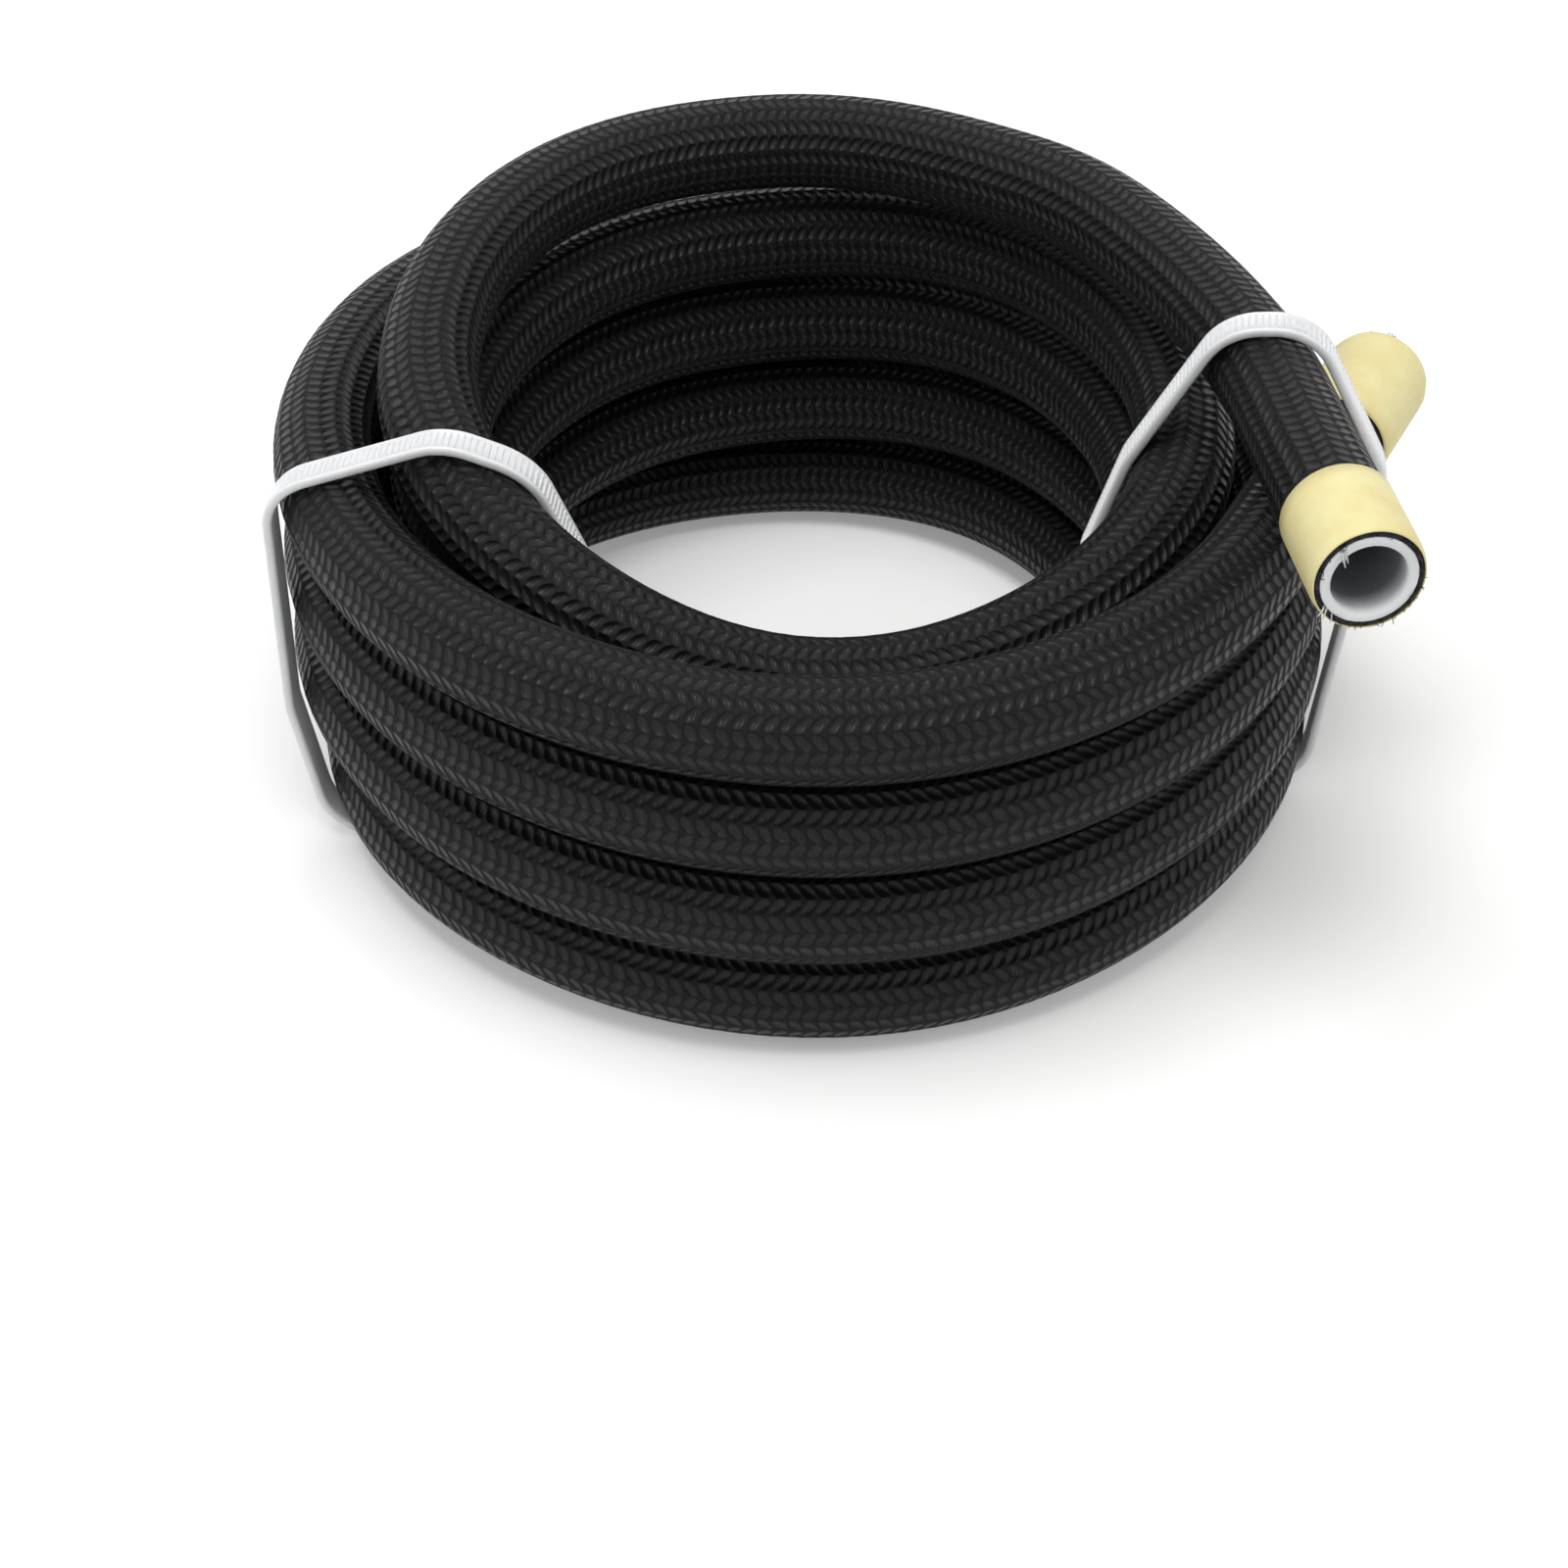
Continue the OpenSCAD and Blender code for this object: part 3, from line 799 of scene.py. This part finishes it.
def faces_outwards(piece):
    """Turns a closed shell's faces outwards."""
    shell = bmesh.new()
    shell.from_mesh(piece.data)
    bmesh.ops.remove_doubles(shell, verts=shell.verts, dist=SAME_POINT)
    bmesh.ops.recalc_face_normals(shell, faces=shell.faces)
    shell.to_mesh(piece.data)
    shell.free()


# ---------------------------------------------------------------- the cable ties

class TiePlane:
    """The upright plane that a tie lies in."""

    def __init__(self, direction, skew):
        self.place = COIL_AXIS + TIE_PIVOT * Vector((cosine(direction), sine(direction), 0))
        self.out = Vector((cosine(direction + skew), sine(direction + skew), 0))
        self.across = Vector((-self.out.y, self.out.x, 0))
        self.up = Vector((0, 0, 1))
        self.bound = self.crossings(hose_line(RINGS_PER_TURN, END_STEP))

    def flat(self, p):
        return Vector(((p - self.place).dot(self.out), (p - self.place).dot(self.up)))

    def in_space(self, flat, sideways=0.0):
        return self.place + self.out * flat.x + self.up * flat.y + self.across * sideways

    def crossings(self, line):
        """The hose's cuts at both edges of the strap, as (place, direction, half-axes)."""
        cuts = []
        for a, b in zip(line, line[1:]):
            for edge in (-STRAP_WIDTH / 2, STRAP_WIDTH / 2):
                before = (a - self.place).dot(self.across) - edge
                after = (b - self.place).dot(self.across) - edge
                if before * after > 0 or before == after:
                    continue
                p = a.lerp(b, before / (before - after))
                if self.flat(p).x < -TIE_PIVOT:
                    continue
                taped = ((p - FRONT_MOUTH).length < FRONT_TAPE_WIDTH + STRAP_WIDTH
                         or (p - REAR_MOUTH).length < REAR_TAPE_WIDTH + STRAP_WIDTH)
                radius = TAPE_RADIUS if taped else HOSE_RADIUS
                way = (b - a).normalized()
                lean = Vector((way.dot(self.out), way.z))
                lean = lean.normalized() if lean.length > NO_DIRECTION else Vector((1, 0))
                cuts.append((self.flat(p), lean, radius / abs(way.dot(self.across)), radius))
        return cuts

    def taut_line(self, spacing):
        """The strap's inner face: the taut line round all that the tie binds, evenly spaced."""
        corners = []
        for place, lean, longer, shorter in self.bound:
            square = Vector((-lean.y, lean.x))
            for k in range(CUT_POINTS):
                a = 2 * math.pi * k / CUT_POINTS
                corners.append(place + lean * (longer + STRAP_GAP) * math.cos(a)
                               + square * (shorter + STRAP_GAP) * math.sin(a))
        hull = [corners[i] for i in geometry.convex_hull_2d(corners)]
        area = sum(a.x * b.y - b.x * a.y for a, b in zip(hull, hull[1:] + hull[:1]))
        if area < 0:
            hull.reverse()
        hull = hull + hull[:1]
        lengths = arc_lengths(hull)
        count = round(lengths[-1] / spacing)
        points = []
        j = 0
        for i in range(count):
            s = lengths[-1] * i / count
            while lengths[j + 1] < s:
                j += 1
            share = (s - lengths[j]) / (lengths[j + 1] - lengths[j])
            points.append(hull[j].lerp(hull[j + 1], share))
        return points

    def inner_face(self):
        """How far out from the pivot the strap's face lies on its inner side."""
        return min(p.x for p in self.taut_line(HEAD_FACE_STEP))


def outward_at(line, i):
    way = (line[(i + 1) % len(line)] - line[i - 1]).normalized()
    return Vector((way.y, -way.x))


def strap_body(tie, material, name):
    line = tie.taut_line(STRAP_STEP)
    loops = []
    for i, point in enumerate(line):
        outward = outward_at(line, i)
        loops.append([tie.in_space(point + outward * up / 1000, across / 1000)
                      for across, up in STRAP_SECTION_MM])
    strap = Loft().add(loops, joined=True).piece(name, material)
    faces_outwards(strap)
    return strap


def ridges_tree(material):
    """Ridges across the strap, one at each step along it."""
    tree = bpy.data.node_groups.new("strap ridges", "GeometryNodeTree")
    for title, kind, default in (
        ("Geometry", "NodeSocketGeometry", None), ("Pitch", "NodeSocketFloat", RIDGE_PITCH),
        ("Ridge radius", "NodeSocketFloat", RIDGE_RADIUS),
        ("Ridge width", "NodeSocketFloat", RIDGE_WIDTH),
    ):
        socket = tree.interface.new_socket(title, in_out="INPUT", socket_type=kind)
        if default is not None:
            socket.default_value = default
    tree.interface.new_socket("Geometry", in_out="OUTPUT", socket_type="NodeSocketGeometry")
    w = Wiring(tree)
    given, result = w.node("NodeGroupInput"), w.node("NodeGroupOutput")
    curve = w.node("GeometryNodeMeshToCurve")
    w.put(curve.inputs["Mesh"], given.outputs["Geometry"])
    steps = w.node("GeometryNodeResampleCurve", mode="LENGTH")
    w.put(steps.inputs["Curve"], curve.outputs[0])
    w.put(steps.inputs["Length"], given.outputs["Pitch"])
    outward = w.node("GeometryNodeInputNamedAttribute", data_type="FLOAT_VECTOR")
    outward.inputs["Name"].default_value = "outward"
    across = w.node("ShaderNodeVectorMath", operation="CROSS_PRODUCT")
    w.put(across.inputs[0], w.node("GeometryNodeInputTangent").outputs[0])
    w.put(across.inputs[1], outward.outputs["Attribute"])
    lay = w.node("FunctionNodeAlignRotationToVector", axis="Z")
    w.put(lay.inputs["Vector"], across.outputs[0])
    stand = w.node("FunctionNodeAlignRotationToVector", axis="X", pivot_axis="Z")
    w.put(stand.inputs["Rotation"], lay.outputs[0])
    w.put(stand.inputs["Vector"], outward.outputs["Attribute"])
    ridge = w.node("GeometryNodeMeshCylinder")
    ridge.inputs["Vertices"].default_value = 3
    w.put(ridge.inputs["Radius"], given.outputs["Ridge radius"])
    w.put(ridge.inputs["Depth"], given.outputs["Ridge width"])
    copies = w.node("GeometryNodeInstanceOnPoints")
    w.put(copies.inputs["Points"], steps.outputs[0])
    w.put(copies.inputs["Instance"], ridge.outputs["Mesh"])
    w.put(copies.inputs["Rotation"], stand.outputs[0])
    real = w.node("GeometryNodeRealizeInstances")
    w.put(real.inputs[0], copies.outputs[0])
    finish = w.node("GeometryNodeSetMaterial")
    finish.inputs["Material"].default_value = material
    w.put(finish.inputs["Geometry"], real.outputs[0])
    w.put(result.inputs[0], finish.outputs[0])
    return tree


def grown(name, source, tree, values):
    """What a node tree makes of the source object, as a plain mesh piece."""
    modifier = source.modifiers.new("nodes", "NODES")
    modifier.node_group = tree
    for item in tree.interface.items_tree:
        if item.in_out == "INPUT" and item.name in values:
            modifier[item.identifier] = values[item.name]
    evaluated = source.evaluated_get(bpy.context.evaluated_depsgraph_get())
    mesh = bpy.data.meshes.new_from_object(evaluated)
    piece = bpy.data.objects.new(name, mesh)
    bpy.context.scene.collection.objects.link(piece)
    bpy.data.objects.remove(source)
    return piece


def strap_ridges(tie, tree, name):
    line = tie.taut_line(STRAP_STEP)
    count = len(line)
    points = []
    normals = []
    for i, point in enumerate(line):
        outward = outward_at(line, i)
        points.append(tie.in_space(point + outward * RIDGE_MIDDLE_HEIGHT))
        normals.append(tie.out * outward.x + tie.up * outward.y)
    mesh = bpy.data.meshes.new(name + "_line")
    edges = [(i, (i + 1) % count) for i in range(count)]
    mesh.from_pydata([tuple(p) for p in points], edges, [])
    attribute = mesh.attributes.new("outward", "FLOAT_VECTOR", "POINT")
    attribute.data.foreach_set("vector", [x for n in normals for x in n])
    guide = bpy.data.objects.new(name + "_line", mesh)
    bpy.context.scene.collection.objects.link(guide)
    return grown(name, guide, tree, {"Pitch": RIDGE_PITCH})


def rounded_rectangle(width, length, corner, per_corner=5):
    points = []
    for cx, cy, start in ((1, 1, 0), (-1, 1, 90), (-1, -1, 180), (1, -1, 270)):
        for i in range(per_corner):
            a = start + 90 * i / (per_corner - 1)
            points.append((cx * (width / 2 - corner) + corner * cosine(a),
                           cy * (length / 2 - corner) + corner * sine(a)))
    return points


def tie_head(tie, material, name):
    """The moulded head, with its slot and the strap's cut end standing in it."""
    face = tie.inner_face()

    def outlines(width, length, levels):
        return [[tie.in_space(Vector((face - depth, HEAD_HEIGHT + y)), x)
                 for x, y in rounded_rectangle(width + wider, length + wider, corner)]
                for wider, corner, depth in levels]

    shell = outlines(HEAD_WIDTH, HEAD_LENGTH, HEAD_LEVELS)
    slot = outlines(STRAP_WIDTH, STRAP_THICKNESS, SLOT_LEVELS)
    stub = outlines(STRAP_WIDTH, STRAP_THICKNESS, STUB_LEVELS)
    head = Loft().add(shell + slot, close_start=True, close_end=True)
    head.add(stub, close_start=True, close_end=True)
    head = head.piece(name, material, smooth=False)
    faces_outwards(head)
    return head


def make_ties(material):
    tree = ridges_tree(material)
    for side, (direction, skew) in TIES.items():
        tie = TiePlane(direction, skew)
        strap = strap_body(tie, material, "tie_strap_" + side)
        ridges = strap_ridges(tie, tree, "tie_ridges_" + side)
        head = tie_head(tie, material, "tie_head_" + side)
        for piece in (strap, ridges, head):
            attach(piece, "root")
        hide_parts("cable_tie_" + side)


# ---------------------------------------------------------------- frayed threads at the cut ends

def cut_threads(chance, count):
    """Short ends all round, as (angle, from the middle, forward, sideways, outwards, radius)."""
    threads = []
    for _ in range(count):
        length = chance.uniform(*THREAD_LENGTH)
        threads.append((
            chance.uniform(0, 360), HOSE_RADIUS - chance.uniform(*THREAD_INSET), length,
            chance.uniform(*THREAD_SIDEWAYS) * length, chance.uniform(*THREAD_OUTWARDS) * length,
            chance.uniform(*THREAD_RADIUS),
        ))
    return threads


def tuft(chance, angle, count, sideways, outwards):
    """Longer ends that lie over the cut face or beside it, with the same values as cut_threads."""
    return [(
        angle + chance.uniform(*TUFT_ANGLE_SPREAD), TUFT_FROM_MIDDLE,
        chance.uniform(*TUFT_LENGTH), sideways * chance.uniform(*TUFT_LEAN_SPREAD),
        outwards * chance.uniform(*TUFT_LEAN_SPREAD), chance.uniform(*TUFT_THREAD_RADIUS),
    ) for _ in range(count)]


def make_fray(name, mouth, way, material, threads):
    side = way.cross(Vector((0, 0, 1))).normalized()
    up = side.cross(way)
    loft = Loft()
    for angle, from_middle, forward, sideways, outwards, radius in threads:
        outward = cosine(angle) * side + sine(angle) * up
        round_way = cosine(angle) * up - sine(angle) * side
        start = mouth + outward * from_middle - way * THREAD_ROOT_DEPTH
        line = []
        for i in range(THREAD_STEPS + 1):
            u = i / THREAD_STEPS
            bend = (round_way * sideways + outward * outwards) * u * u
            line.append(start + way * forward * math.sin(math.pi / 2 * u) + bend)
        loops = []
        for i, (point, thread_way) in enumerate(zip(line, ways_along(line))):
            taper = 1 - (1 - THREAD_TIP_SHARE) * i / THREAD_STEPS
            loops.append(ring_round(point, thread_way, radius * taper, THREAD_SIDES))
        loft.add(loops, close_start=True, close_end=True)
    fray = loft.piece(name, material)
    faces_outwards(fray)
    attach(fray, "root")


# ---------------------------------------------------------------- all of it

def build():
    place_camera()
    braid = braid_group()
    handling = handling_group()
    cover = braided_cover_material(braid, handling)
    liner = liner_material(handling)
    tape = crepe_tape_material(handling)
    nylon = tie_material(handling)
    make_hose(cover, liner)
    make_tape("front_tape", "tape_front", FRONT_MOUTH, FRONT_WAY, FRONT_TAPE_WIDTH, tape, 3)
    make_tape("rear_tape", "tape_rear", REAR_MOUTH, REAR_WAY, REAR_TAPE_WIDTH, tape, 8)
    make_ties(nylon)
    black_thread = thread_material("black cut threads", (0.03, 0.03, 0.032, 1))
    pale_thread = thread_material("pale cut threads", (0.90, 0.91, 0.88, 1))
    chance = random.Random(THREADS_SEED)
    for end, mouth, way in (("front", FRONT_MOUTH, FRONT_WAY), ("rear", REAR_MOUTH, REAR_WAY)):
        pulled = [thread for pull in TUFTS for thread in tuft(chance, *pull)]
        cut = cut_threads(chance, BLACK_THREADS)
        make_fray(end + "_black_threads", mouth, way, black_thread, cut)
        make_fray(end + "_pale_threads", mouth, way, pale_thread, pulled)
    lay_floor()
    light_world()
    for lamp in LAMPS:
        soft_box(*lamp)
    bpy.context.scene.view_settings.view_transform = "Standard"


build()
